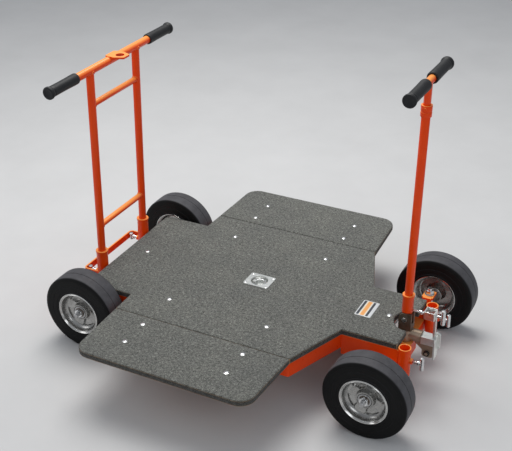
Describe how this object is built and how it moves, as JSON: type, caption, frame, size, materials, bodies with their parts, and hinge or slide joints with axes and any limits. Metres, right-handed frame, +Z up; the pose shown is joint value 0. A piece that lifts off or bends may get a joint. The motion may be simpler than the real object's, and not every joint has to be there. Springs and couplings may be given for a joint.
{
  "type": "platform dolly",
  "caption": "Steerable carpet-topped platform dolly with fat rubber-tyred wheels, sliding side boards, a folding telescopic T-handle and a lift-out push bar.",
  "frame": {"origin": "on the ground under the middle of the wheelbase", "axes": "+X towards the steering end, +Y to the left board, +Z up"},
  "size_m": [1.25, 1.141, 0.9926],
  "materials": {
    "orange_paint": "gloss",
    "carpet": "matt heather pile",
    "plywood": "matt",
    "tyre": "satin",
    "rim": "polished",
    "zinc": "bright zinc",
    "plate_steel": "brushed",
    "head_steel": "dark oiled",
    "bronze": "turned",
    "grip": "matt moulded",
    "bearing": "ground"
  },
  "bodies": {
    "root": {"deck_panel": "plywood", "deck_carpet": "carpet", "deck_bolts": "zinc", "tie_down_plate": "plate_steel", "frame_plates": "orange_paint", "cross_tubes": "orange_paint", "spine_plates": "orange_paint", "rear_sockets": "orange_paint", "front_sockets": "orange_paint", "rear_guard": "orange_paint", "front_axle_beams": "orange_paint", "steering_housing": "orange_paint", "steering_bushes": "bronze", "kingpin_brackets": "orange_paint", "kingpins": "zinc", "rear_axle": "plate_steel"},
    "tie_down_ring": {"tie_down_ring": "zinc"},
    "left_board": {"left_board_panel": "plywood", "left_board_carpet": "carpet", "left_board_bars": "plate_steel", "left_board_bolts": "zinc"},
    "right_board": {"right_board_panel": "plywood", "right_board_carpet": "carpet", "right_board_bars": "plate_steel", "right_board_bolts": "zinc"},
    "push_bar": {"push_bar_posts": "orange_paint", "push_bar_rungs": "orange_paint", "push_bar_crossbar": "orange_paint", "push_bar_grips": "grip"},
    "steering": {"steering_spindle": "plate_steel", "steering_arm": "head_steel", "steering_clevis": "plate_steel", "steering_head": "head_steel", "handle_pivot_bolt": "zinc", "handle_lock_bracket": "plate_steel"},
    "lock_pin": {"handle_lock_pin": "zinc"},
    "handle": {"handle_socket": "orange_paint", "handle_tube": "orange_paint", "handle_clamp": "orange_paint"},
    "tee_handle": {"handle_tee": "orange_paint", "handle_grips": "grip"},
    "tie_rod": {"tie_rod": "plate_steel"},
    "front_left_knuckle": {"front_left_knuckle": "plate_steel"},
    "front_right_knuckle": {"front_right_knuckle": "plate_steel"},
    "front_left_wheel": {"front_left_tyre": "tyre", "front_left_rim": "rim", "front_left_bearings": "bearing"},
    "front_left_clamp_screw": {"front_left_clamp_screw": "zinc"},
    "front_right_wheel": {"front_right_tyre": "tyre", "front_right_rim": "rim", "front_right_bearings": "bearing"},
    "front_right_clamp_screw": {"front_right_clamp_screw": "zinc"},
    "rear_left_wheel": {"rear_left_tyre": "tyre", "rear_left_rim": "rim", "rear_left_bearings": "bearing"},
    "rear_left_clamp_screw": {"rear_left_clamp_screw": "zinc"},
    "rear_right_wheel": {"rear_right_tyre": "tyre", "rear_right_rim": "rim", "rear_right_bearings": "bearing"},
    "rear_right_clamp_screw": {"rear_right_clamp_screw": "zinc"}
  },
  "joints": [
    {"name": "steer", "type": "hinge", "parent": "root", "child": "steering", "pos_m": [0.495, 0, 0.11], "axis": [0, 0, 1], "range_deg": [-30, 30]},
    {"name": "front_left_knuckle_steer", "type": "hinge", "parent": "root", "child": "front_left_knuckle", "pos_m": [0.495, 0.22, 0.12], "axis": [0, 0, 1], "range_deg": [-30, 30]},
    {"name": "front_right_knuckle_steer", "type": "hinge", "parent": "root", "child": "front_right_knuckle", "pos_m": [0.495, -0.22, 0.12], "axis": [0, 0, 1], "range_deg": [-30, 30]},
    {"name": "tie_rod_pivot", "type": "hinge", "parent": "steering", "child": "tie_rod", "pos_m": [0.41, 0, 0.086], "axis": [0, 0, 1], "range_deg": [-30, 30]},
    {"name": "handle_fold", "type": "hinge", "parent": "steering", "child": "handle", "pos_m": [0.495, 0, 0.212], "axis": [0, -1, 0], "range_deg": [0, 75]},
    {"name": "tee_handle_slide", "type": "slide", "parent": "handle", "child": "tee_handle", "axis": [0.0244, 0, 0.9997], "range_m": [0, 0.25]},
    {"name": "handle_lock_pin_pull", "type": "slide", "parent": "steering", "child": "lock_pin", "axis": [1, 0, 0], "range_m": [0, 0.0085]},
    {"name": "push_bar_lift", "type": "slide", "parent": "root", "child": "push_bar", "axis": [0.0401, 0, 0.9992], "range_m": [0, 0.12]},
    {"name": "left_board_slide", "type": "slide", "parent": "root", "child": "left_board", "axis": [0, 1, 0], "range_m": [0, 0.2]},
    {"name": "right_board_slide", "type": "slide", "parent": "root", "child": "right_board", "axis": [0, -1, 0], "range_m": [0, 0.2]},
    {"name": "tie_down_ring_hinge", "type": "hinge", "parent": "root", "child": "tie_down_ring", "pos_m": [-0.025, 0, 0.193], "axis": [0, -1, 0], "range_deg": [0, 88]},
    {"name": "front_left_wheel_spin", "type": "hinge", "parent": "front_left_knuckle", "child": "front_left_wheel", "pos_m": [0.495, 0.3025, 0.13], "axis": [0, 1, 0], "continuous": true},
    {"name": "front_right_wheel_spin", "type": "hinge", "parent": "front_right_knuckle", "child": "front_right_wheel", "pos_m": [0.495, -0.3025, 0.13], "axis": [0, 1, 0], "continuous": true},
    {"name": "rear_left_wheel_spin", "type": "hinge", "parent": "root", "child": "rear_left_wheel", "pos_m": [-0.495, 0.2942, 0.13], "axis": [0, 1, 0], "continuous": true},
    {"name": "rear_right_wheel_spin", "type": "hinge", "parent": "root", "child": "rear_right_wheel", "pos_m": [-0.495, -0.2942, 0.13], "axis": [0, 1, 0], "continuous": true},
    {"name": "front_left_screw_turn", "type": "hinge", "parent": "root", "child": "front_left_clamp_screw", "pos_m": [0.591, 0.124, 0.147], "axis": [-1, 0, 0], "range_deg": [-1080, 0]},
    {"name": "front_right_screw_turn", "type": "hinge", "parent": "root", "child": "front_right_clamp_screw", "pos_m": [0.591, -0.124, 0.147], "axis": [-1, 0, 0], "range_deg": [-1080, 0]},
    {"name": "rear_left_screw_turn", "type": "hinge", "parent": "root", "child": "rear_left_clamp_screw", "pos_m": [-0.58, 0.124, 0.16], "axis": [1, 0, 0], "range_deg": [-1080, 0]},
    {"name": "rear_right_screw_turn", "type": "hinge", "parent": "root", "child": "rear_right_clamp_screw", "pos_m": [-0.58, -0.124, 0.16], "axis": [1, 0, 0], "range_deg": [-1080, 0]}
  ],
  "couplings": [
    {"joint": "front_left_knuckle_steer", "follows": "steer", "ratio": 1},
    {"joint": "front_right_knuckle_steer", "follows": "steer", "ratio": 1},
    {"joint": "tie_rod_pivot", "follows": "steer", "ratio": -1}
  ]
}
